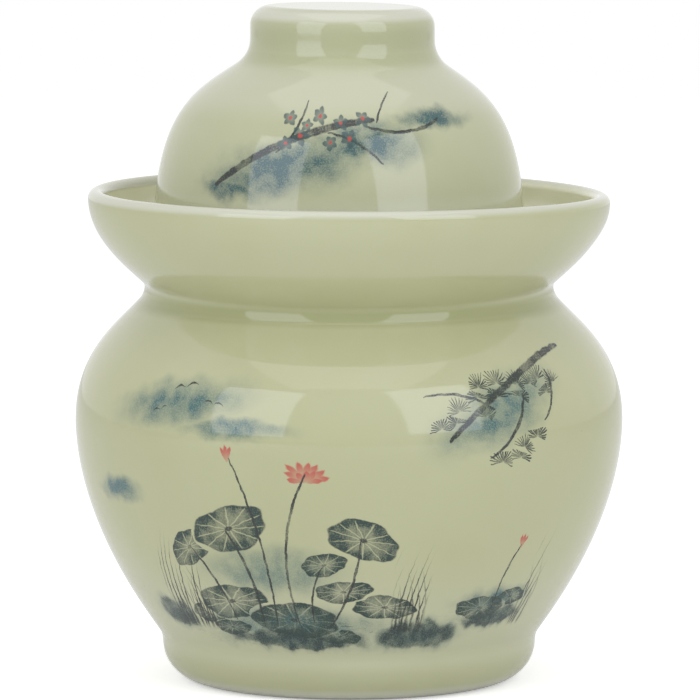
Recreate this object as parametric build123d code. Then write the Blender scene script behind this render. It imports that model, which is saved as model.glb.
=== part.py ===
from build123d import *
from math import cos, radians, sin, tan
import os

# A water seal pickle jar in glazed ceramic. Millimetres, +Z up, and the origin is the
# centre of the foot ring on the table. It comes apart into three pieces: the jar with
# its water trough, the outer lid that stands upside down in the trough like a bowl,
# and the inner lid that lies on the neck. Every piece is turned about its own axis, so
# each is one closed section, walked round with the radius as X and the height as Y.

# Foot and belly of the jar, outside
foot_radius = 66.4
foot_round = 14.0
foot_ring_width = 9.0
foot_recess_depth = 3.0
foot_recess_slope = 6.0
foot_kink_round = 7.8
flank_lean = 36.5
belly_radius = 97.3
belly_height = 93.4
shoulder_lean = 41.2
waist_radius = 72.6
waist_rise = 47.1
waist_bend_low = 7.0
waist_bend_high = 3.2

# How firmly the ends of the belly curves hold their direction
flank_pull = 38.0
belly_pull_down = 17.8
belly_pull_up = 24.3
shoulder_pull = 10.8

# Walls of the pot
body_wall = 6.0
base_thickness = 7.5

# Water trough
flare_lean = 48.2
flare_pull = 9.1
rim_pull = 12.9
rim_radius = 92.6
rim_rise = 30.7
lip_thickness = 6.0
trough_wall = 5.6
trough_floor_rise = 9.5
trough_corner_round = 3.0

# Neck that stands up inside the trough, and the throat below it
neck_bore_radius = 49.5
neck_wall = 5.5
neck_rise = 28.0
neck_root_round = 2.0
neck_edge_bevel = 1.2
throat_round = 5.0
throat_slope = 20.0
throat_roof = 7.5
throat_pull = 16.0

# Outer lid
lid_radius = 66.1
lid_height = 90.0
lid_wall = 5.0
lid_rim_bevel = 1.3
lid_offset = 3.5
dome_lean = 56.5
dome_pull_low = 46.6
dome_pull_high = 22.0
knob_radius = 32.7
knob_height = 11.7
knob_root_round = 11.1
knob_edge_round = 7.0
knob_hollow_round = 3.0

# Inner lid
inner_lid_inset = 2.0
inner_lid_thickness = 5.0
inner_lid_edge_bevel = 1.5
inner_lid_crown = 2.5
skirt_clearance = 1.5
skirt_wall = 4.0
skirt_depth = 8.0
skirt_edge_bevel = 1.0
button_radius = 11.0
button_height = 13.5
button_stem_radius = 8.0
button_stem_round = 3.0
button_neck_turn = 70.0


def lean(angle):
    """Way up a wall that leans outwards from upright by the angle."""
    return Vector(sin(radians(angle)), cos(radians(angle)))


def to_inside(angle, wall):
    """Step square through a wall of that lean, from its outer skin to its inner skin."""
    return Vector(-cos(radians(angle)), sin(radians(angle))) * wall


def bend(start, heading, radius, turn):
    """Round corner from a start and its heading. A positive turn in degrees goes left."""
    sideways = heading.rotate(Axis.Z, 90 if turn > 0 else -90)
    angle = radians(abs(turn))
    end = start + heading * radius * sin(angle) + sideways * radius * (1 - cos(angle))
    reach = radius * tan(angle / 4) * 4 / 3
    return Bezier(start, start + heading * reach, end - heading.rotate(Axis.Z, turn) * reach, end)


def turned(section):
    """Solid of a closed section turned once about the upright axis."""
    return revolve(Plane.XZ * make_face(section), Axis.Z)


# Heights and radii that several pieces share
up, down, out, inwards = Vector(0, 1), Vector(0, -1), Vector(1, 0), Vector(-1, 0)
waist_height = belly_height + waist_rise
rim_height = waist_height + rim_rise
trough_floor = waist_height + trough_floor_rise
neck_top = trough_floor + neck_rise
neck_radius = neck_bore_radius + neck_wall


def pot_outside():
    """Foot roll, flank, belly and shoulder, from the table up to the waist."""
    roll = JernArc((foot_radius - foot_round, 0), out, foot_round, 90)
    kink = bend(roll @ 1, up, foot_kink_round, -flank_lean)
    belly = Vector(belly_radius, belly_height)
    waist_centre = Vector(waist_radius + waist_bend_low, waist_height)
    waist_start = waist_centre + to_inside(-shoulder_lean, waist_bend_low)
    flank = Bezier(
        kink @ 1,
        kink @ 1 + lean(flank_lean) * flank_pull,
        belly + down * belly_pull_down,
        belly,
    )
    shoulder = Bezier(
        belly,
        belly + up * belly_pull_up,
        waist_start - lean(-shoulder_lean) * shoulder_pull,
        waist_start,
    )
    return [roll, kink, flank, shoulder]


def trough_outside(waist_start):
    """Waist groove, tighter at its top, then the flared wall and the rounded lip."""
    waist_low = bend(waist_start, lean(-shoulder_lean), waist_bend_low, -shoulder_lean)
    waist_high = bend(waist_low @ 1, up, waist_bend_high, -flare_lean)
    rim = Vector(rim_radius, rim_height)
    flare = Bezier(
        waist_high @ 1,
        waist_high @ 1 + lean(flare_lean) * flare_pull,
        rim + down * rim_pull,
        rim,
    )
    lip = JernArc(rim, up, lip_thickness / 2, 180)
    return [waist_low, waist_high, flare, lip]


def trough_inside(flare_start, lip_end):
    """Inner wall of the trough, its floor, and the root of the neck."""
    corner_sink = trough_corner_round * (1 - sin(radians(flare_lean)))
    wall_foot = flare_start + to_inside(flare_lean, trough_wall)
    climb = (trough_floor + corner_sink - wall_foot.Y) / cos(radians(flare_lean))
    corner_start = wall_foot + lean(flare_lean) * climb
    wall = Bezier(
        lip_end,
        lip_end + down * rim_pull,
        corner_start + lean(flare_lean) * flare_pull,
        corner_start,
    )
    corner = bend(corner_start, -lean(flare_lean), trough_corner_round, flare_lean - 90)
    floor = Line(corner @ 1, (neck_radius + neck_root_round, trough_floor))
    root = JernArc(floor @ 1, inwards, neck_root_round, -90)
    return [wall, corner, floor, root]


def neck_and_throat():
    """Collar of the mouth with its flat land, and the corner where the bore opens out."""
    throat_turn = 90 - throat_slope
    throat_end = trough_floor - throat_roof
    throat_start = throat_end + throat_round * sin(radians(throat_turn))
    side_top = neck_top - neck_edge_bevel
    side = Line((neck_radius, trough_floor + neck_root_round), (neck_radius, side_top))
    outer_edge = Line(side @ 1, (neck_radius - neck_edge_bevel, neck_top))
    land = Line(outer_edge @ 1, (neck_bore_radius + neck_edge_bevel, neck_top))
    inner_edge = Line(land @ 1, (neck_bore_radius, side_top))
    bore = Line(inner_edge @ 1, (neck_bore_radius, throat_start))
    throat = bend(bore @ 1, down, throat_round, throat_turn)
    return [side, outer_edge, land, inner_edge, bore, throat]


def pot_inside(throat_end, flank_foot):
    """Inner skin of shoulder, belly and flank, down to the flat inside of the base."""
    belly = Vector(belly_radius - body_wall, belly_height)
    base_top = foot_recess_depth + base_thickness
    flank_end = flank_foot + to_inside(flank_lean, body_wall)
    base_round = (flank_end.Y - base_top) / (1 - sin(radians(flank_lean)))
    shoulder = Bezier(
        throat_end,
        throat_end + lean(90 + throat_slope) * throat_pull,
        belly + up * belly_pull_up,
        belly,
    )
    flank = Bezier(
        belly,
        belly + down * belly_pull_down,
        flank_end + lean(flank_lean) * flank_pull,
        flank_end,
    )
    base_corner = bend(flank_end, -lean(flank_lean), base_round, flank_lean - 90)
    base = Line(base_corner @ 1, (0, base_top))
    return [shoulder, flank, base_corner, base]


def foot_underside():
    """Shallow recess under the base, and the flat ring that the jar stands on."""
    ring_inner = foot_radius - foot_round - foot_ring_width
    recess_edge = (ring_inner - foot_recess_slope, foot_recess_depth)
    axis = Line((0, foot_recess_depth + base_thickness), (0, foot_recess_depth))
    recess = Line(axis @ 1, recess_edge)
    slope = Bezier(recess @ 1, recess @ 1 + out * foot_recess_slope / 2, (ring_inner, 0))
    ring = Line(slope @ 1, (ring_inner + foot_ring_width, 0))
    return [axis, recess, slope, ring]


def jar():
    """Pot and water trough, fired as one piece, around a neck that stands in the trough."""
    outside = pot_outside()
    trough = trough_outside(outside[-1] @ 1)
    trough += trough_inside(trough[2] @ 0, trough[-1] @ 1)
    neck = neck_and_throat()
    inside = pot_inside(neck[-1] @ 1, outside[2] @ 0)
    return turned(outside + trough + neck + inside + foot_underside())


def outer_lid():
    """Bowl turned upside down, cast with a hollow knob, on its own rim at height zero."""
    rim_outer = Vector(lid_radius, lid_rim_bevel)
    rim_inner = Vector(lid_radius - lid_wall, lid_rim_bevel)
    rim_flat = Line((rim_inner.X + lid_rim_bevel, 0), (rim_outer.X - lid_rim_bevel, 0))
    knob_foot = lid_height - knob_height
    knob_centre = Vector(knob_radius + knob_root_round, knob_foot)
    dome_end = knob_centre + to_inside(-dome_lean, knob_root_round)
    outer_edge = Line(rim_flat @ 1, rim_outer)
    dome = Bezier(
        rim_outer,
        rim_outer + up * dome_pull_low,
        dome_end - lean(-dome_lean) * dome_pull_high,
        dome_end,
    )
    knob_root = bend(dome_end, lean(-dome_lean), knob_root_round, -dome_lean)
    knob_side = Line(knob_root @ 1, (knob_radius, lid_height - knob_edge_round))
    knob_edge = bend(knob_side @ 1, up, knob_edge_round, 90)
    knob_top = Line(knob_edge @ 1, (0, lid_height))
    axis = Line((0, lid_height), (0, lid_height - lid_wall))
    roof_end = (knob_radius - lid_wall - knob_hollow_round, lid_height - lid_wall)
    roof = Line(axis @ 1, roof_end)
    hollow_edge = bend(roof @ 1, out, knob_hollow_round, -90)
    hollow_side = Line(hollow_edge @ 1, (knob_radius - lid_wall, knob_foot))
    hollow_root = bend(hollow_side @ 1, down, knob_root_round + lid_wall, dome_lean)
    inside = Bezier(
        hollow_root @ 1,
        hollow_root @ 1 - lean(-dome_lean) * dome_pull_high,
        rim_inner + up * dome_pull_low,
        rim_inner,
    )
    inner_edge = Line(rim_inner, rim_flat @ 0)
    return turned(
        [rim_flat, outer_edge, dome, knob_root, knob_side, knob_edge, knob_top, axis, roof]
        + [hollow_edge, hollow_side, hollow_root, inside, inner_edge]
    )


def inner_lid():
    """Disc with a crowned top, a skirt that centres it in the neck, and a button to lift it."""
    disc_radius = neck_radius - inner_lid_inset
    skirt_outer = neck_bore_radius - skirt_clearance
    skirt_inner = skirt_outer - skirt_wall
    rim = disc_radius - inner_lid_edge_bevel
    crown_top = inner_lid_thickness + inner_lid_crown
    button_top = crown_top + button_height
    under = Line((0, 0), (skirt_inner, 0))
    skirt_foot = skirt_edge_bevel - skirt_depth
    skirt_in = Line(under @ 1, (skirt_inner, skirt_foot))
    skirt_in_edge = Line(skirt_in @ 1, (skirt_inner + skirt_edge_bevel, -skirt_depth))
    skirt_end = Line(skirt_in_edge @ 1, (skirt_outer - skirt_edge_bevel, -skirt_depth))
    skirt_out_edge = Line(skirt_end @ 1, (skirt_outer, skirt_foot))
    skirt_out = Line(skirt_out_edge @ 1, (skirt_outer, 0))
    seat = Line(skirt_out @ 1, (rim, 0))
    low_edge = Line(seat @ 1, (disc_radius, inner_lid_edge_bevel))
    edge = Line(low_edge @ 1, (disc_radius, inner_lid_thickness - inner_lid_edge_bevel))
    high_edge = Line(edge @ 1, (rim, inner_lid_thickness))
    stem_foot = Vector(button_stem_radius + button_stem_round, crown_top)
    crown_radius = (rim**2 + inner_lid_crown**2) / (2 * inner_lid_crown)
    top = RadiusArc(high_edge @ 1, stem_foot, -crown_radius)
    stem_root = bend(stem_foot, inwards, button_stem_round, -90)
    stem_neck = bend(stem_root @ 1, up, button_stem_round, -button_neck_turn)
    widest = Vector(button_radius, (stem_neck @ 1).Y + button_stem_round / 2)
    cheek = Bezier(stem_neck @ 1, widest + down * button_stem_round / 2, widest)
    cap = Bezier(
        widest,
        widest + up * (button_top - widest.Y) * 0.55,
        (button_radius * 0.55, button_top),
        (0, button_top),
    )
    axis = Line((0, button_top), under @ 0)
    return turned(
        [under, skirt_in, skirt_in_edge, skirt_end, skirt_out_edge, skirt_out, seat, low_edge]
        + [edge, high_edge, top, stem_root, stem_neck, cheek, cap, axis]
    )


# The outer lid stands on the trough floor a little to one side, as a hand leaves it,
# and the inner lid is centred on the neck by its skirt.
pieces = {
    "jar_body": jar(),
    "outer_lid": Pos(-lid_offset, 0, trough_floor) * outer_lid(),
    "inner_lid": Pos(0, 0, neck_top) * inner_lid(),
}

os.makedirs("parts", exist_ok=True)
for name, piece in pieces.items():
    piece.label = name
    export_step(piece, f"parts/{name}.step")
    print(name, round(piece.volume / 1000, 1), "cm3, size", piece.bounding_box().size)
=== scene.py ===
import math

import bmesh
import bpy
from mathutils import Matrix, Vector


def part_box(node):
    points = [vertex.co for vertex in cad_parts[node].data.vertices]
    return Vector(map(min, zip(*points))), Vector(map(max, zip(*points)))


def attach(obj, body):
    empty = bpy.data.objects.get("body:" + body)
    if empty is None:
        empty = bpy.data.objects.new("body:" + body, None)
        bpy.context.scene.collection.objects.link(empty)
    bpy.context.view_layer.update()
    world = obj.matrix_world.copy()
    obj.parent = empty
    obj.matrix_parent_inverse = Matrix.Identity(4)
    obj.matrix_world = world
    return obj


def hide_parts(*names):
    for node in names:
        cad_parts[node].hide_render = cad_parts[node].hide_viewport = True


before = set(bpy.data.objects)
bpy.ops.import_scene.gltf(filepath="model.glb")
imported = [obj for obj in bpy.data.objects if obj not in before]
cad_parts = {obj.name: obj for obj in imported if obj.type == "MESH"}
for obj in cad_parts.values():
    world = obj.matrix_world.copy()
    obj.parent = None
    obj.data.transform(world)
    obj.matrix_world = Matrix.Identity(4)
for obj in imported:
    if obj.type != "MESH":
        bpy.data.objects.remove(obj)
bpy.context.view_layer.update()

# The jar: foot, belly, waist and flared water trough thrown and fired as one piece of
# ceramic, with the neck standing in the trough. Pale celadon glaze covers all of it
# except the flat foot ring, which is wiped bare so that it does not stick in the kiln.

# Firing left the lip of the trough out of level and the waist lower in front. Metres.
trough_tilt = math.radians(0.6)
trough_wave = 0.0003
wave_turn = 0.6
tilt_start, tilt_full = 0.156, 0.171
lip_inside, lip_outside = 0.074, 0.086
waist_dip = 0.003
dip_start, dip_full, dip_fades, dip_end = 0.11, 0.131, 0.146, 0.16
inner_wall = 0.06

# How finely a piece is turned, and how near two points have to be to be one.
steps_round = 96
longest_step = 0.003
touching = 1e-6
mm_per_m = 1000.0


def turned_form(node, axis_x=0.0):
    """Smooth closed form, spun about its upright axis from the cut section of a CAD piece."""
    form = bmesh.new()
    form.from_mesh(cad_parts[node].data)
    bmesh.ops.remove_doubles(form, verts=form.verts, dist=touching)
    bmesh.ops.translate(form, verts=form.verts, vec=(-axis_x, 0, 0))
    for across, both_sides in (((0, 1, 0), True), ((1, 0, 0), False)):
        everything = form.verts[:] + form.edges[:] + form.faces[:]
        bmesh.ops.bisect_plane(form, geom=everything, dist=touching, plane_co=(0, 0, 0),
                               plane_no=across, clear_inner=True, clear_outer=both_sides)
    loose = [v for v in form.verts if abs(v.co.y) > touching or not v.link_edges]
    bmesh.ops.delete(form, geom=loose, context="VERTS")
    for edge in form.edges[:]:
        run = edge.verts[1].co - edge.verts[0].co
        if run.length > longest_step and min(abs(run.x), abs(run.z)) < touching:
            bmesh.ops.subdivide_edges(form, edges=[edge], cuts=int(run.length / longest_step))
    bmesh.ops.spin(form, geom=form.verts[:] + form.edges[:], cent=(0, 0, 0), axis=(0, 0, 1),
                   angle=math.tau, steps=steps_round, use_merge=True)
    bmesh.ops.remove_doubles(form, verts=form.verts, dist=touching)
    bmesh.ops.recalc_face_normals(form, faces=form.faces)
    bmesh.ops.translate(form, verts=form.verts, vec=(axis_x, 0, 0))
    return form


def fired_piece(name, form, node, body):
    """Finished ceramic piece that stands for its CAD node and rides on that node's body."""
    mesh = bpy.data.meshes.new(name)
    for face in form.faces:
        face.smooth = True
    form.to_mesh(mesh)
    form.free()
    piece = bpy.data.objects.new(name, mesh)
    bpy.context.scene.collection.objects.link(piece)
    rounding = piece.modifiers.new("rounding", "SUBSURF")
    rounding.levels = rounding.render_levels = 1
    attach(piece, body)
    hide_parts(node)
    return piece


def ease(value, low, high):
    """Smooth step from 0 at the low value to 1 at the high one."""
    share = min(max((value - low) / (high - low), 0), 1)
    return share * share * (3 - 2 * share)


jar_form = turned_form("jar_body")
for point in jar_form.verts:
    reach = math.hypot(point.co.x, point.co.y)
    if point.co.z > tilt_start:
        turn = math.atan2(point.co.y, point.co.x)
        sag = math.tan(trough_tilt) * point.co.x + trough_wave * math.sin(2 * turn + wave_turn)
        sag *= ease(reach, lip_inside, lip_outside)
        point.co.z -= sag * ease(point.co.z, tilt_start, tilt_full)
    if point.co.y < 0 and dip_start < point.co.z < dip_end and reach > inner_wall:
        belt = ease(point.co.z, dip_start, dip_full) * ease(-point.co.z, -dip_end, -dip_fades)
        point.co.z += waist_dip * belt * point.co.y / reach
jar = fired_piece("glazed_jar", jar_form, "jar_body", "jar")


def wired(tree, kind, feeds=None, **settings):
    """Shader node with its settings, its sockets fed by numbers, colours or other nodes."""
    node = tree.nodes.new(kind)
    for name, value in settings.items():
        setattr(node, name, value)
    for name, feed in (feeds or {}).items():
        feed = feed.socket if isinstance(feed, Tone) else feed
        if isinstance(feed, bpy.types.NodeSocket):
            tree.links.new(feed, node.inputs[name])
        else:
            node.inputs[name].default_value = feed
    return node


class Tone:
    """Number that changes over the glaze, on which sums are written as plain sums."""

    def __init__(self, socket):
        self.socket = socket

    def sum(self, operation, *others):
        feeds = dict(enumerate((self,) + others))
        tree = self.socket.id_data
        return Tone(wired(tree, "ShaderNodeMath", feeds, operation=operation).outputs[0])

    def __add__(self, other):
        return self.sum("ADD", other)

    def __sub__(self, other):
        return self.sum("SUBTRACT", other)

    def __mul__(self, other):
        return self.sum("MULTIPLY", other)

    def __truediv__(self, other):
        return self.sum("DIVIDE", other)

    def __abs__(self):
        return self.sum("ABSOLUTE")

    def __or__(self, other):
        return self.sum("MAXIMUM", other)

    def rest(self):
        """One minus this number."""
        return Tone(wired(self.socket.id_data, "ShaderNodeMath", {0: 1.0, 1: self},
                          operation="SUBTRACT").outputs[0])

    def ramp(self, low, high, start=0.0, end=1.0):
        """Smooth change from start to end while this number goes from low to high."""
        feeds = {"Value": self, "From Min": low, "From Max": high, "To Min": start, "To Max": end}
        return Tone(wired(self.socket.id_data, "ShaderNodeMapRange", feeds,
                          interpolation_type="SMOOTHSTEP").outputs[0])


def new_group(name, takes, gives):
    """Node group with its inputs by name, as tones, and a call that feeds its outputs."""
    group = bpy.data.node_groups.new(name, "ShaderNodeTree")
    kinds = {float: "NodeSocketFloat", tuple: "NodeSocketVector", list: "NodeSocketColor"}
    for label, value in takes.items():
        group.interface.new_socket(label, in_out="INPUT",
                                   socket_type=kinds[type(value)]).default_value = value
    for label, kind in gives.items():
        group.interface.new_socket(label, in_out="OUTPUT", socket_type="NodeSocket" + kind)
    source = group.nodes.new("NodeGroupInput").outputs
    sink = group.nodes.new("NodeGroupOutput")

    def deliver(**results):
        for label, tone in results.items():
            tone = tone.socket if isinstance(tone, Tone) else tone
            group.links.new(tone, sink.inputs[label])
    return group, {label: Tone(source[label]) for label in takes}, deliver


def use_group(tree, group, feeds):
    """Outputs of a node group placed in a tree and fed with numbers, colours and tones."""
    return wired(tree, "ShaderNodeGroup", feeds, node_tree=group).outputs


def across_and_up(tree, point):
    """The first two numbers of a point."""
    split = wired(tree, "ShaderNodeSeparateXYZ", {0: point})
    return Tone(split.outputs[0]), Tone(split.outputs[1])


def vector_sum(tree, operation, *feeds, **named):
    """Output of a Vector Math node."""
    node = wired(tree, "ShaderNodeVectorMath", {**dict(enumerate(feeds)), **named},
                 operation=operation)
    return node.outputs["Value" if operation == "LENGTH" else "Vector"]


def noise(tree, point, size, detail=2.0, **settings):
    """Noise with lumps of about the size, in the units of the point."""
    return Tone(wired(tree, "ShaderNodeTexNoise", {"Vector": point, "Scale": 1 / size,
                      "Detail": detail}, **settings).outputs["Fac"])


def srgb(*levels):
    """Linear opaque colour of three display levels from 0 to 255."""
    shares = [level / 255 for level in levels]
    return (*(s / 12.92 if s <= 0.04045 else ((s + 0.055) / 1.055) ** 2.4 for s in shares), 1)


def stain(tree, under, colour, mask):
    """The under colour, stained with the colour where the mask is."""
    feeds = {0: mask, 6: under, 7: colour}
    return wired(tree, "ShaderNodeMix", feeds, data_type="RGBA").outputs[2]


# How the glaze lies: clouded and faintly grainy, with small iron specks, deeper where it
# runs together in a hollow, and thin and pale over an edge. The deeper and paler colours
# also serve as painted shade and painted light where a material's bands put them.
# Lengths in millimetres.
cloud_size, grain_size, speck_spacing, speck_share = 38.0, 0.5, 9, 0.16
ripple_size, ripple_depth, orange_peel_size, orange_peel_depth = 11.0, 0.012, 1.4, 0.0005
thin_glaze_and_painted_light, iron = srgb(198, 198, 177), srgb(140, 122, 84)
coat, given, deliver = new_group(
    "celadon_coat",
    {"Point": (0.0, 0.0, 0.0), "Colour": [0.5, 0.5, 0.3, 1.0], "Pooled and Painted Shade": 0.0, "Thin and Painted Light": 0.0},
    {"Colour": "Color", "Roughness": "Float", "Height": "Float"})
point = given["Point"].socket
cloud = noise(coat, point, cloud_size, 3.0)
grain = noise(coat, point, grain_size, 1.0)
speck = wired(coat, "ShaderNodeTexVoronoi", {"Vector": point, "Scale": 1 / speck_spacing})
chance = Tone(wired(coat, "ShaderNodeSeparateXYZ", {0: speck.outputs["Color"]}).outputs[0])
speck = Tone(speck.outputs["Distance"]).ramp(0.012, 0.035, 1, 0)
speck = speck * chance.sum("LESS_THAN", speck_share)
shade = vector_sum(coat, "MULTIPLY", given["Colour"].socket, (0.985, 0.98, 0.955))
light = vector_sum(coat, "MULTIPLY", given["Colour"].socket, (1.015, 1.015, 1.025))
colour = stain(coat, shade, light, cloud.ramp(0.35, 0.65) * 0.75 + grain.ramp(0.3, 0.7) * 0.25)
deep_and_painted_shade = vector_sum(coat, "MULTIPLY", given["Colour"].socket, (0.70, 0.72, 0.52))
colour = stain(coat, colour, deep_and_painted_shade, given["Pooled and Painted Shade"])
colour = stain(coat, colour, thin_glaze_and_painted_light, given["Thin and Painted Light"])
colour = stain(coat, colour, iron, speck * 0.45)
ripple = noise(coat, point, ripple_size) * ripple_depth
ripple = ripple + noise(coat, point, orange_peel_size, 1.0) * orange_peel_depth
deliver(Colour=colour, Roughness=cloud.ramp(0.3, 0.7, 0.05, 0.09), Height=ripple)

# Bare fired clay: buff, matt and gritty, where the glaze is wiped off.
grit_size, clay_roughness = 0.6, 0.85
clay_shade, clay_light = srgb(196, 184, 160), srgb(222, 214, 196)
clay, given, deliver = new_group(
    "bare_clay", {"Point": (0.0, 0.0, 0.0), "Bare": 0.0, "Colour": [0.5, 0.5, 0.3, 1.0],
                  "Roughness": 0.07, "Height": 0.0},
    {"Colour": "Color", "Roughness": "Float", "Height": "Float"})
grit = noise(clay, given["Point"].socket, grit_size, 3.0)
biscuit = stain(clay, clay_shade, clay_light, grit.ramp(0.35, 0.65))
bare = given["Bare"]
deliver(Colour=stain(clay, given["Colour"].socket, biscuit, bare),
        Roughness=given["Roughness"] * bare.rest() + bare * clay_roughness,
        Height=given["Height"] * bare.rest() + bare * (grit * 0.02 - 0.06))

# One stroke of the brush along x from 0 to 1, fullest in the middle.
brush, given, deliver = new_group(
    "brush_stroke", {"Point": (0.0, 0.0, 0.0), "Width": 0.05, "Bow": 0.0, "Taper": 1.0},
    {"Mask": "Float"})
along, aside = across_and_up(brush, given["Point"])
swell = along * along.rest() * 4
edge = swell.sum("POWER", given["Taper"]) * given["Width"] - abs(aside - swell * given["Bow"])
deliver(Mask=edge.ramp(0, given["Width"] * 0.4))

# Petals or needles that fan out from a point, upwards, one unit long.
fan, given, deliver = new_group(
    "petal_fan",
    {"Point": (0.0, 0.0, 0.0), "Petals": 5.0, "Spread": 3.0, "Width": 0.1, "Ragged": 0.3,
     "Seed": 0.0}, {"Mask": "Float", "Reach": "Float"})
across, up = across_and_up(fan, given["Point"])
reach = (across * across + up * up).sum("SQRT")
sector = given["Spread"] / given["Petals"]
place = across.sum("ARCTAN2", up) / sector + given["Petals"] * 0.5
cell = place.sum("FLOOR")
chance = Tone(wired(fan, "ShaderNodeTexWhiteNoise", {"W": cell + given["Seed"]},
                    noise_dimensions="1D").outputs["Value"])
share = reach / (given["Ragged"] * chance).rest()
aside = abs(place - cell - 0.5 - (chance - 0.5) * 0.35) * sector * reach
width = (share * share.rest() * 4).sum("POWER", 0.8) * given["Width"]
inside = abs(place - given["Petals"] * 0.5).sum("LESS_THAN", given["Petals"] * 0.5)
deliver(Mask=(width - aside).ramp(0, given["Width"] * 0.5) * inside, Reach=share)

# Fans scattered over a surface. The centre of each lets a region choose whole fans.
spray, given, deliver = new_group(
    "fan_spray",
    {"Point": (0.0, 0.0, 0.0), "Cell": 10.0, "Length": 6.0, "Width": 0.1, "Petals": 3.0,
     "Spread": 1.5, "Swing": 1.0},
    {"Mask": "Float", "Reach": "Float", "Centre": "Vector"})
spacing = wired(spray, "ShaderNodeCombineXYZ", {0: given["Cell"], 1: given["Cell"], 2: 1.0})
spacing = spacing.outputs[0]
scaled = vector_sum(spray, "DIVIDE", given["Point"].socket, spacing)
cells = wired(spray, "ShaderNodeTexVoronoi", {"Vector": scaled, "Scale": 1.0,
              "Randomness": 0.75}, voronoi_dimensions="2D").outputs
offset = vector_sum(spray, "SUBTRACT", scaled, cells["Position"])
chance, other = across_and_up(spray, cells["Color"])
swung = wired(spray, "ShaderNodeVectorRotate", {"Vector": offset,
              "Angle": (chance - 0.5) * given["Swing"]}, rotation_type="Z_AXIS")
size = given["Cell"] / given["Length"] / (other * 0.5 + 0.75)
sized = vector_sum(spray, "SCALE", swung.outputs[0], Scale=size)
fans = use_group(spray, fan, {"Point": sized, "Seed": chance * 50, **{
    label: given[label] for label in ("Petals", "Spread", "Width")}})
deliver(Mask=fans["Mask"], Reach=fans["Reach"],
        Centre=vector_sum(spray, "MULTIPLY", cells["Position"], spacing))

# A lotus leaf, one unit in radius: wet wash darker to the rim, with the veins left light.
pad, given, deliver = new_group("lotus_leaf", {"Point": (0.0, 0.0, 0.0)},
                                {"Wash": "Float", "Ink": "Float"})
seed_scale = 1000
split = wired(pad, "ShaderNodeSeparateXYZ", {0: given["Point"]}).outputs
across, up, seed = Tone(split[0]), Tone(split[1]), Tone(split[2]) * seed_scale
reach = (across * across + up * up).sum("SQRT")
turn = up.sum("ARCTAN2", across) + seed
rim = (turn * 3).sum("SINE") * 0.05 + (turn * 7 + 1).sum("SINE") * 0.035 + 0.93 - reach
leaf = rim.ramp(0, 0.07)
vein = abs((turn * (11 / math.tau) + 40).sum("FRACT") - 0.5) * reach
vein = vein.ramp(0.015, 0.05, 1, 0) * reach.ramp(0.75, 0.95, 1, 0)
deliver(Wash=leaf * reach.ramp(0.1, 1.0, 0.55, 1.0) * (vein * 0.75).rest(),
        Ink=leaf * rim.ramp(0.03, 0.09, 0.8, 0) | reach.ramp(0.07, 0.13, 0.9, 0))

# Reeds side by side, from the ground up.
reeds, given, deliver = new_group(
    "reed_bed", {"Point": (0.0, 0.0, 0.0), "Pitch": 2.0, "Height": 20.0, "Width": 0.5,
                 "Lean": 4.0, "Seed": 0.0}, {"Mask": "Float"})
across, up = across_and_up(reeds, given["Point"])
share = up / given["Height"]
place = (across - share * abs(share) * given["Lean"]) / given["Pitch"] + given["Seed"]
cell = place.sum("FLOOR")
chance = wired(reeds, "ShaderNodeTexWhiteNoise", {"W": cell}, noise_dimensions="1D").outputs
shift, bent = across_and_up(reeds, chance["Color"])
part = share / (Tone(chance["Value"]) * -0.55 + 1)
aside = abs(place - cell - 0.5 - (shift - 0.5) * 0.5 - (bent - 0.5) * part * part * 0.5)
width = given["Width"] / given["Pitch"]
blade = (part.rest() | 0).sum("POWER", 0.7) * width - aside
deliver(Mask=blade.ramp(0, width * 0.5) * share.ramp(0, 0.08))

# The glaze laid flat: millimetres round the piece and up, the same picture front and back.
flat, given, deliver = new_group("unrolled", {"Radius": 90.0, "Axis": 0.0}, {"Point": "Vector"})
where = wired(flat, "ShaderNodeTexCoord").outputs["Object"]
split = wired(flat, "ShaderNodeSeparateXYZ", {0: where}).outputs
round_it = (Tone(split[0]) - given["Axis"]).sum("ARCTAN2", Tone(split[1]) * -1)
round_it = round_it.sum("WRAP", math.pi / 2, -math.pi / 2) * given["Radius"]
deliver(Point=wired(flat, "ShaderNodeCombineXYZ", {0: round_it,
                    1: Tone(split[2]) * mm_per_m}).outputs[0])

# Points moved about, as an unsteady hand or wet paper moves a brushed edge.
shaky, given, deliver = new_group(
    "shaky_hand", {"Point": (0.0, 0.0, 0.0), "Amount": 1.0, "Lumps per mm": 0.3},
    {"Point": "Vector"})
lumps = wired(shaky, "ShaderNodeTexNoise", {"Vector": given["Point"], "Detail": 3.0,
              "Scale": given["Lumps per mm"]}, noise_dimensions="2D").outputs["Color"]
lumps = vector_sum(shaky, "SUBTRACT", lumps, (0.5, 0.5, 0.5))
flatly = wired(shaky, "ShaderNodeCombineXYZ", {0: given["Amount"], 1: given["Amount"]})
deliver(Point=vector_sum(shaky, "MULTIPLY_ADD", lumps, flatly.outputs[0],
                         given["Point"].socket))

# How wet the ink lies: a fine grain, and larger blots where the brush ran dry.
ink, given, deliver = new_group("ink_cover", {"Point": (0.0, 0.0, 0.0)}, {"Cover": "Float"})
grain = noise(ink, given["Point"].socket, 0.55, noise_dimensions="2D")
blot = noise(ink, given["Point"].socket, 6.0, 3.0, noise_dimensions="2D")
deliver(Cover=grain.ramp(0.3, 0.6, 0.72, 1) * blot.ramp(0.3, 0.65, 0.62, 1))

# A soft pool of thinned ink, one unit in radius.
wash, given, deliver = new_group("soft_wash", {"Point": (0.0, 0.0, 0.0), "Strength": 1.0},
                                 {"Mask": "Float"})
reach = Tone(vector_sum(wash, "LENGTH", given["Point"].socket))
deliver(Mask=reach.ramp(0.05, 1.0, given["Strength"], 0))

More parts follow.
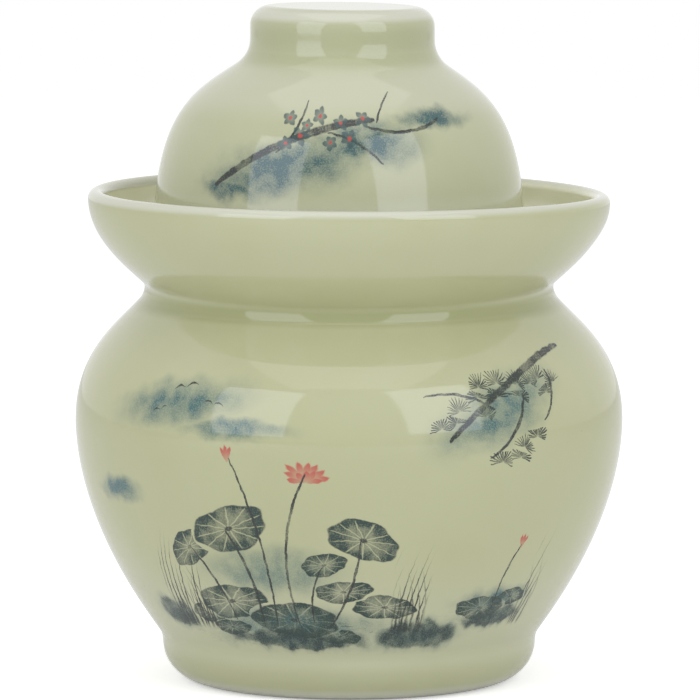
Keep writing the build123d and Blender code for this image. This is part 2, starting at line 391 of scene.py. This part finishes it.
# A band round the piece at one height, in millimetres, that fades out over its reach.
band, given, deliver = new_group(
    "height_band", {"Height": 0.0, "Middle": 0.0, "Reach": 5.0, "Strength": 1.0},
    {"Mask": "Float"})
away = abs(given["Height"] - given["Middle"])
deliver(Mask=away.ramp(given["Reach"] * 0.2, given["Reach"], given["Strength"], 0))


def shaken(tree, point, amount, size):
    """The point after a shaky hand, with lumps of about the size in millimetres."""
    return use_group(tree, shaky, {"Point": point, "Amount": amount,
                                   "Lumps per mm": 1 / size})["Point"]


def laid_over(point, places):
    """The point as the topmost of overlapping motifs sees it: place, turn, size, seed."""
    tree = point.id_data
    top = None
    for place, turn, size, seed in places:
        local = wired(tree, "ShaderNodeMapping", {
            "Vector": point, "Location": (*place, -seed / seed_scale),
            "Rotation": (0, 0, math.radians(turn)), "Scale": (*size, 1)},
            vector_type="TEXTURE").outputs[0]
        if top:
            on_top = Tone(vector_sum(tree, "LENGTH", local)).sum("LESS_THAN", 1)
            local = wired(tree, "ShaderNodeMix", {0: on_top, 4: top, 5: local},
                          data_type="VECTOR").outputs[1]
        top = local
    return top


def stroke(point, place, turn, length, width, bow=0.0, taper=0.15):
    """Mask of one brush stroke from its place, in degrees and millimetres."""
    local = laid_over(point, [(place, turn, (length, length), 0)])
    return Tone(use_group(point.id_data, brush, {"Point": local, "Taper": taper,
                "Width": width / length / 2, "Bow": bow / length})["Mask"])


def soft_wash(point, place, size, turn=0.0, strength=1.0):
    """Mask of one soft wash round its place, in degrees and millimetres."""
    local = laid_over(point, [(place, turn, size, 0)])
    return Tone(use_group(point.id_data, wash, {"Point": local, "Strength": strength})["Mask"])


def any_of(tones):
    """The strongest of some masks."""
    total = tones[0]
    for tone in tones[1:]:
        total = total | tone
    return total


glaze_ior = 1.6
ragged_size = 7.0


def coated(name, colour, pooled_and_painted_shade, thin_and_painted_light, bare, paint=None):
    """Glazed material. A zone lists its middle heights, reaches and strengths, in mm."""
    material = bpy.data.materials.new(name)
    material.use_nodes = True
    tree = material.node_tree
    shader = tree.nodes["Principled BSDF"]
    where = wired(tree, "ShaderNodeTexCoord").outputs["Object"]
    point = vector_sum(tree, "SCALE", where, Scale=mm_per_m)
    height = Tone(wired(tree, "ShaderNodeSeparateXYZ", {0: point}).outputs[2])
    ragged = height + (noise(tree, point, ragged_size) - 0.5)

    def zone(bands, height):
        rings = [use_group(tree, band, {"Height": height, "Middle": middle, "Reach": reach,
                                        "Strength": strength})
                 for middle, reach, strength in bands]
        return any_of([Tone(ring["Mask"]) for ring in rings]) if rings else 0.0
    # The pooled zones darken and the thin zones pale the glaze; some of them are painted shade
    # and painted light.
    layer = use_group(tree, coat, {"Point": point, "Colour": colour,
                                   "Pooled and Painted Shade": zone(pooled_and_painted_shade, height), "Thin and Painted Light": zone(thin_and_painted_light, height)})
    painted = paint(tree, layer["Colour"]) if paint else layer["Colour"]
    finish = use_group(tree, clay, {
        "Point": point, "Colour": painted, "Roughness": layer["Roughness"],
        "Height": layer["Height"], "Bare": zone(bare, ragged)})
    bump = wired(tree, "ShaderNodeBump", {"Height": finish["Height"],
                                          "Distance": 1 / mm_per_m})
    for label, feed in (("Base Color", finish["Colour"]), ("Roughness", finish["Roughness"]),
                        ("Normal", bump.outputs[0])):
        tree.links.new(feed, shader.inputs[label])
    shader.inputs["IOR"].default_value = glaze_ior
    return material


# The picture under the glaze of the belly: a lotus pond with reeds on dark banks, a pine
# bough, and birds over mist, in soft blue-green and grey ink with a little coral.
mist_ink, bank_ink, leaf_ink = srgb(58, 98, 98), srgb(22, 46, 44), srgb(26, 54, 46)
line_ink, needle_ink, coral = srgb(28, 36, 30), srgb(26, 44, 36), srgb(178, 62, 52)
line_depth, wash_depth = 1.15, 1.3
belly_reach = 90.0


def lotus_pond(tree, glaze):
    point = use_group(tree, flat, {"Radius": belly_reach})["Point"]
    hand = shaken(tree, point, 1.0, 3.3)
    pool = shaken(tree, point, 8.0, 11.0)
    cover = Tone(use_group(tree, ink, {"Point": point})["Cover"])
    mist = any_of([
        soft_wash(pool, (-24, 29), (56, 9)), soft_wash(pool, (-30, 49), (38, 12), 0, 0.7),
        soft_wash(pool, (52, 104), (36, 14), 24, 0.9), soft_wash(pool, (62, 36), (26, 7)),
        soft_wash(pool, (-60, 107), (38, 10), 8), soft_wash(pool, (-38, 99), (26, 5)),
        soft_wash(pool, (-92, 74), (18, 6))])
    bank = any_of([soft_wash(pool, (-24, 23.5), (50, 6)), soft_wash(pool, (30, 25), (30, 8)),
                   soft_wash(pool, (-82, 30), (18, 7)), soft_wash(pool, (64, 30), (24, 5))])
    pads = laid_over(hand, [
        ((-60, 32), 3, (11, 4.2), 2.2), ((14, 36), -4, (14, 4.8), 2.9),
        ((-2, 42), 5, (12, 4.4), 0.2), ((-48, 37), 6, (17, 6.8), 0.3),
        ((-4, 25), -3, (10, 3.2), 0.9), ((-52, 27), 2, (10, 3.0), 4.4),
        ((-22, 31), -2, (20, 7.2), 1.4), ((-60, 56), 30, (11, 6.2), 1.1),
        ((-42, 64), 16, (16, 8.8), 4.0), ((5, 61), -20, (14, 7.6), 5.1),
        ((-9, 52), 10, (9, 4.6), 2.5), ((70, 37), 2, (9, 3.4), 3.3),
        ((56, 34), -2, (13, 4.8), 1.9)])
    leaves = use_group(tree, pad, {"Point": pads})
    stems = any_of([
        stroke(hand, (-36, 28), 102, 36, 1.3, -3), stroke(hand, (-20, 28), 84, 57, 1.2, 5),
        stroke(hand, (-8, 28), 70, 35, 1.2, -3), stroke(hand, (-30, 28), 99, 62, 1.0, -4),
        stroke(hand, (-48, 30), 114, 29, 1.1, -2), stroke(hand, (-14, 30), 78, 22, 0.9, 2),
        stroke(hand, (62, 33), 80, 24, 0.9, 2)])
    flowers = [
        use_group(tree, fan, {"Point": laid_over(hand, [((-14, 82), -6, (9.5, 8.5), 0)]),
                              "Petals": 7.0, "Spread": 2.9, "Width": 0.2, "Ragged": 0.2,
                              "Seed": 3.0}),
        use_group(tree, fan, {"Point": laid_over(hand, [((-14, 81.5), -2, (6.8, 5.6), 0)]),
                              "Petals": 5.0, "Spread": 3.3, "Width": 0.28, "Ragged": 0.2,
                              "Seed": 1.0}),
        use_group(tree, fan, {"Point": laid_over(hand, [((-40, 87.5), 10, (6.5, 7.5), 0),
                                                        ((66, 55), -8, (5.5, 6.5), 0)]),
                              "Petals": 3.0, "Spread": 1.0, "Width": 0.19, "Ragged": 0.25,
                              "Seed": 8.0})]
    petals = any_of([Tone(flower["Mask"]) * Tone(flower["Reach"]).ramp(0, 0.9, start, 1)
                     for flower, start in zip(flowers, (0.15, 0.5, 0.4))])
    ground = laid_over(hand, [((-74, 25), 0, (1, 1), 0)])
    bed = any_of([
        Tone(use_group(tree, reeds, {"Point": ground, "Pitch": 2.1, "Height": 40.0,
                                     "Width": 0.7, "Lean": 9.0})["Mask"]),
        Tone(use_group(tree, reeds, {"Point": ground, "Pitch": 2.7, "Height": 31.0,
                                     "Width": 0.65, "Lean": -7.0, "Seed": 7.3})["Mask"]) * 0.8])
    across, up = across_and_up(tree, point)
    stretched = vector_sum(tree, "MULTIPLY", pool, (0.06, 0.6, 0))
    ripples = noise(tree, stretched, 1.0, 1.0, noise_dimensions="2D") - 0.5
    ripples = abs(ripples).ramp(0.004, 0.02, 0.8, 0) * any_of([
        soft_wash(point, (-22, 26), (70, 9)), soft_wash(point, (60, 31), (30, 7))])
    bed = bed * (abs(across + 69).ramp(9, 13, 1, 0) | abs(across - 80).ramp(2.5, 5, 1, 0)
                 | abs(across - 24).ramp(5, 8, 0.9, 0))
    tufts = use_group(tree, spray, {"Point": hand, "Cell": 7.0, "Length": 8.0, "Width": 0.04,
                                    "Petals": 15.0, "Spread": 3.8, "Swing": 1.2})
    tuft_region = any_of([stroke(tufts["Centre"], (26, 98), 14, 64, 17, 6, 0.5),
                          stroke(tufts["Centre"], (46, 86), 24, 32, 12, 0, 0.6)])
    needles = Tone(tufts["Mask"]) * tuft_region.ramp(0.3, 0.5)
    boughs = any_of([
        stroke(hand, (92, 124), 206, 66, 2.8, -6), stroke(hand, (62, 110), 236, 26, 1.5, 3),
        stroke(hand, (50, 105), 168, 26, 1.1, -3), stroke(hand, (76, 117), 250, 18, 1.1, 2)])
    flock = laid_over(hand, [((-58, 112), 12, (5, 5), 0), ((-46, 107), -8, (4, 4), 0),
                             ((-67, 104), 20, (3.5, 3.5), 0)])
    side, rise = across_and_up(tree, flock)
    wing = wired(tree, "ShaderNodeCombineXYZ", {0: abs(side), 1: rise}).outputs[0]
    birds = Tone(use_group(tree, brush, {"Point": wing, "Width": 0.09, "Bow": 0.28,
                                         "Taper": 0.8})["Mask"])
    colour = stain(tree, glaze, mist_ink, (mist | bank) * cover * line_depth)
    colour = stain(tree, colour, bank_ink, bank.ramp(0.25, 0.6) * cover)
    colour = stain(tree, colour, leaf_ink, Tone(leaves["Wash"]) * cover * wash_depth)
    colour = stain(tree, colour, coral, petals * 0.9)
    lines = any_of([Tone(leaves["Ink"]), ripples, stems, bed, boughs, birds])
    colour = stain(tree, colour, line_ink, lines * cover * line_depth)
    return stain(tree, colour, needle_ink, needles * cover * line_depth)


# Bands of glaze, in millimetres above the table: middle, reach and strength. It pools in
# the waist and over the foot, and runs thin over the lip and the foot's edge, where its pale
# colour is also painted light. The darker band round the middle of the belly is painted
# shade, and the pale band over the lower belly is painted light.
# The pale celadon is painted light for the inside of the trough.
celadon, painted_light_celadon = srgb(180, 181, 141), srgb(246, 246, 220)
jar_pooled_and_painted_shade = [(136.2, 4.5, 0.9), (80, 38, 0.12), (8.5, 6.5, 0.3)]
jar_thin_and_painted_light = [(173.8, 2.6, 1), (0.6, 5.0, 0.9), (26, 30, 0.25)]
foot_ring = [(-0.4, 1.2, 1)]
jar.data.materials.append(coated("celadon_glaze", celadon, jar_pooled_and_painted_shade, jar_thin_and_painted_light, foot_ring))
jar.data.materials.append(coated("painted_belly", celadon, jar_pooled_and_painted_shade, jar_thin_and_painted_light, foot_ring,
                                 lotus_pond))
# Painted light: the trough's inside is glazed far paler, to lift the shade round the lid.
jar.data.materials.append(coated("trough_glaze_painted_light", painted_light_celadon, [], jar_thin_and_painted_light, []))


def glaze_faces(piece, slot, axis_x, low, high, way=1):
    """Give a material to the faces between two heights that look outwards, or inwards."""
    for face in piece.data.polygons:
        outward = face.normal.x * (face.center.x - axis_x) + face.normal.y * face.center.y
        if low < face.center.z < high and outward * way > 0:
            face.material_index = slot


painted_slot, trough_painted_light_slot = 1, 2
painted_low, painted_high = 0.015, 0.136
trough_floor, trough_lip = 0.151, 0.173
glaze_faces(jar, painted_slot, 0, painted_low, painted_high)
glaze_faces(jar, trough_painted_light_slot, 0, trough_floor, trough_lip, -1)

# The outer lid: a bowl with a hollow knob, turned upside down so that its rim stands in
# the water of the trough. Same clay and glaze as the jar, and its rim is bare.
lid_low, lid_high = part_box("outer_lid")
lid_axis = (lid_low.x + lid_high.x) / 2
lid_top = lid_high.z
knob_shift = 0.0012
knob_tilt = math.radians(0.7)
knob_foot, knob_waist = lid_top - 0.032, lid_top - 0.016
knob_hinge = 0.033
lid_painted_low, lid_painted_high = 0.155, lid_top - 0.012

lid_form = turned_form("outer_lid", lid_axis)
for point in lid_form.verts:
    share = ease(point.co.z, knob_foot, knob_waist)
    point.co.z -= share * math.tan(knob_tilt) * (point.co.x - lid_axis + knob_hinge)
    point.co.x += share * knob_shift
outer_lid = fired_piece("glazed_outer_lid", lid_form, "outer_lid", "outer_lid")


# The picture under the glaze of the lid: an ink plum twig in front of blue-green mist.
lid_mist_ink, petal_ink = srgb(48, 86, 86), srgb(44, 72, 72)
lid_reach = 60.0


def plum_twig(tree, glaze):
    point = use_group(tree, flat, {"Radius": lid_reach, "Axis": lid_axis})["Point"]
    hand = shaken(tree, point, 0.9, 3.0)
    pool = shaken(tree, point, 9.0, 12.0)
    cover = Tone(use_group(tree, ink, {"Point": point})["Cover"])
    mist = any_of([
        soft_wash(pool, (-18, 187), (38, 13), 10), soft_wash(pool, (10, 195), (28, 11)),
        soft_wash(pool, (38, 203), (24, 5)), soft_wash(pool, (-38, 179), (18, 6))])
    twigs = any_of([
        stroke(hand, (-44, 180), 22, 62, 3.2, 5), stroke(hand, (10, 201), 4, 30, 1.4, -3),
        stroke(hand, (-22, 192), 62, 20, 1.2, -2), stroke(hand, (-4, 199), 330, 22, 1.1, 2),
        stroke(hand, (14, 202), 52, 13, 0.9, 1)])
    flowers = use_group(tree, spray, {"Point": hand, "Cell": 8.0, "Length": 3.4, "Width": 0.42,
                                      "Petals": 5.0, "Spread": math.tau, "Swing": 6.0})
    region = any_of([stroke(flowers["Centre"], (-30, 184), 22, 60, 14, 5, 0.5),
                     stroke(flowers["Centre"], (-22, 194), 62, 18, 9, -2, 0.5)])
    reach = Tone(flowers["Reach"])
    petals = Tone(flowers["Mask"]) * region.ramp(0.3, 0.5)
    hearts = reach.ramp(0.12, 0.3, 1, 0) * region.ramp(0.3, 0.5)
    colour = stain(tree, glaze, lid_mist_ink, mist * cover * wash_depth)
    colour = stain(tree, colour, line_ink, twigs * cover * line_depth)
    colour = stain(tree, colour, petal_ink, petals * reach.ramp(0, 1, 0.55, 0.9))
    return stain(tree, colour, coral, hearts)


# Glaze pools round the side of the knob and under it. It is thin over the knob's edge and
# on the shoulder, and the pale band towards the rim is painted light that lifts the shade of
# the trough round the lid.
top, rim = lid_top * mm_per_m, lid_low.z * mm_per_m
lid_pooled = [(top - 11.5, 9, 0.35), (top - 17.5, 4.5, 0.35)]
lid_thin_and_painted_light = [(top - 2.5, 3.0, 1), (top - 28, 11, 0.35), (166, 12, 0.5)]
lid_rim = [(rim - 0.4, 1.4, 1)]
lid_glaze = srgb(178, 180, 144)
outer_lid.data.materials.append(coated("lid_glaze", lid_glaze, lid_pooled, lid_thin_and_painted_light, lid_rim))
outer_lid.data.materials.append(coated("painted_lid", lid_glaze, lid_pooled, lid_thin_and_painted_light,
                                       lid_rim, plum_twig))
glaze_faces(outer_lid, painted_slot, lid_axis, lid_painted_low, lid_painted_high)

# The inner lid: a crowned disc that lies on the neck under the outer lid, centred in it
# by a skirt, with a button to lift it by. Glazed, with a bare seat.
inner_lid = fired_piece("glazed_inner_lid", turned_form("inner_lid"), "inner_lid",
                        "inner_lid")
inner_low, inner_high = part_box("inner_lid")
button_edge = [(inner_high.z * mm_per_m - 3, 4, 1)]
bare_seat = [(inner_low.z * mm_per_m + 7.9, 0.7, 1)]
inner_lid.data.materials.append(coated("inner_lid_glaze", srgb(179, 180, 143), [],
                                       button_edge, bare_seat))

# The studio: a plain pale floor, two tall soft boxes in front of the jar to the left and
# right, a wide soft panel overhead, and white all round.
floor_half_width = 3
paper_shade = 0.96
paper_glow = {"Camera": 0.45, "Glossy": 0.12, "Transmission": 0.12}
world_light, world_seen = 0.65, 1.0
floor_form = bmesh.new()
bmesh.ops.create_grid(floor_form, x_segments=1, y_segments=1, size=floor_half_width)
floor_mesh = bpy.data.meshes.new("floor")
floor_form.to_mesh(floor_mesh)
floor_form.free()
floor = bpy.data.objects.new("floor", floor_mesh)
bpy.context.scene.collection.objects.link(floor)
floor_paint = bpy.data.materials.new("floor_paper")
floor_paint.use_nodes = True
tree = floor_paint.node_tree
paper = tree.nodes["Principled BSDF"]
paper.inputs["Base Color"].default_value = (paper_shade, paper_shade, paper_shade, 1)
paper.inputs["Roughness"].default_value = 1
paper.inputs["Specular IOR Level"].default_value = 0
paper.inputs["Emission Color"].default_value = (1, 1, 1, 1)
rays = tree.nodes.new("ShaderNodeLightPath")
shown = any_of([Tone(rays.outputs[f"Is {kind} Ray"]) * level
                for kind, level in paper_glow.items()])
tree.links.new(shown.socket, paper.inputs["Emission Strength"])
floor_mesh.materials.append(floor_paint)

world = bpy.data.worlds.new("white_studio")
bpy.context.scene.world = world
world.use_nodes = True
tree = world.node_tree
rays = tree.nodes.new("ShaderNodeLightPath")
shown = any_of([Tone(rays.outputs[f"Is {kind} Ray"]) for kind in paper_glow])
level = shown.ramp(0, 1, world_light, world_seen)
tree.links.new(level.socket, tree.nodes["Background"].inputs["Strength"])
tree.nodes["Background"].inputs["Color"].default_value = (1, 1, 1, 1)


def soft_panel(name, place, aim, width, height, power, tint=(1, 1, 1)):
    """Soft light panel that faces the aimed point."""
    lamp = bpy.data.lights.new(name, "AREA")
    lamp.shape = "RECTANGLE"
    lamp.size, lamp.size_y, lamp.energy, lamp.color = width, height, power, tint
    panel = bpy.data.objects.new(name, lamp)
    bpy.context.scene.collection.objects.link(panel)
    panel.location = place
    panel.rotation_euler = (Vector(aim) - Vector(place)).to_track_quat("-Z", "Y").to_euler()
    panel.visible_camera = False


def in_direction(azimuth, elevation, distance):
    """Point so far from the jar, to the right of the camera by the azimuth, in degrees."""
    a, e = math.radians(azimuth), math.radians(elevation)
    return (distance * math.sin(a) * math.cos(e), -distance * math.cos(a) * math.cos(e),
            half_height + distance * math.sin(e))


half_height = 0.12
middle = (0, 0, half_height)
cool = (0.9, 0.94, 1.1)
soft_panel("right_box", in_direction(40, 25, 1.6), middle, width=0.95, height=1.3, power=6.6,
           tint=cool)
soft_panel("left_box", in_direction(-42, 22, 1.6), middle, width=0.95, height=1.25, power=6.3,
           tint=cool)
soft_panel("overhead", (0, -0.3, 1.4), (0, -0.3, 0), width=1.2, height=1.5, power=3.5)

# The camera stands far off and a little above the jar.
camera_rise = math.radians(6)
camera_distance = 2.4867
camera_data = bpy.data.cameras.new("camera")
camera_data.lens, camera_data.sensor_width = 360, 36
camera = bpy.data.objects.new("camera", camera_data)
bpy.context.scene.collection.objects.link(camera)
aim = Vector((0.00036, 0, 0.1173))
camera.location = aim + camera_distance * Vector((0, -math.cos(camera_rise),
                                                  math.sin(camera_rise)))
camera.rotation_euler = (aim - camera.location).to_track_quat("-Z", "Y").to_euler()
bpy.context.scene.camera = camera
bpy.context.scene.view_settings.view_transform = "Standard"
